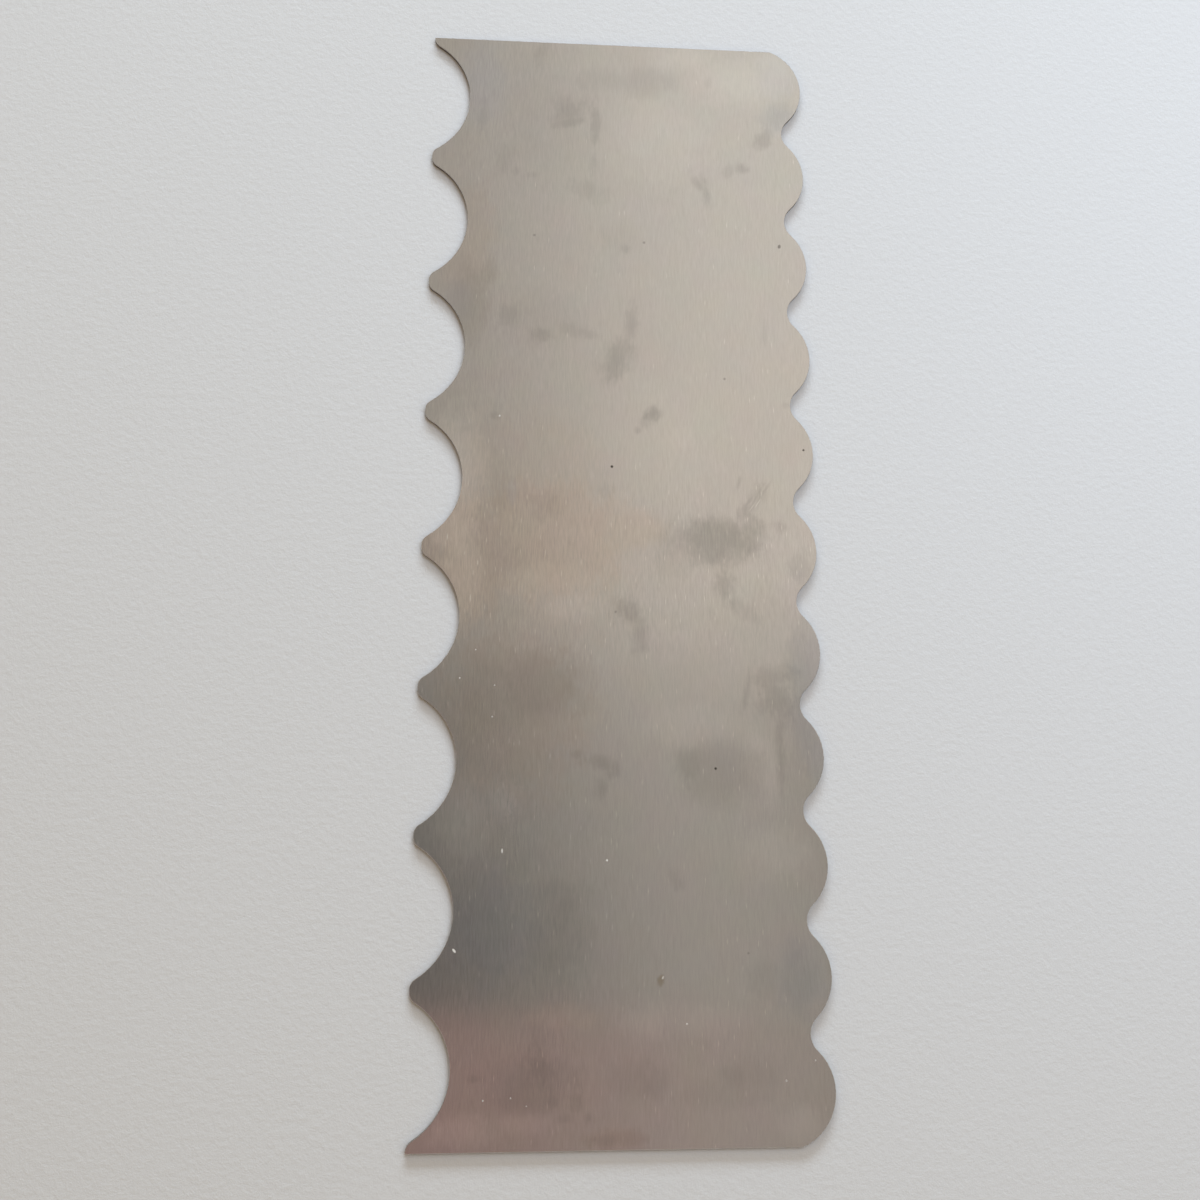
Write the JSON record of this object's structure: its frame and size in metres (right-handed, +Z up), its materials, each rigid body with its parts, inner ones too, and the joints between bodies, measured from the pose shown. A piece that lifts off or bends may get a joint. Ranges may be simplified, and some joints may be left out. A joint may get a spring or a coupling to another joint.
{
  "type": "icing comb",
  "caption": "Flat brushed-steel icing comb and smoother: a thin sheet with scallops and blunt tips along one long edge, round crests along the other, and straight ends.",
  "frame": {"origin": "middle of the underside, which lies on the table", "axes": "+Y along the length, +X across from the scalloped edge to the crested edge, +Z up through the thickness"},
  "size_m": [0.088, 0.25, 0.0008],
  "materials": {
    "brushed_sheet": "stainless sheet brushed along its length, lightly smudged and tarnished"
  },
  "bodies": {
    "root": {"comb_plate": "brushed_sheet"}
  },
  "joints": []
}
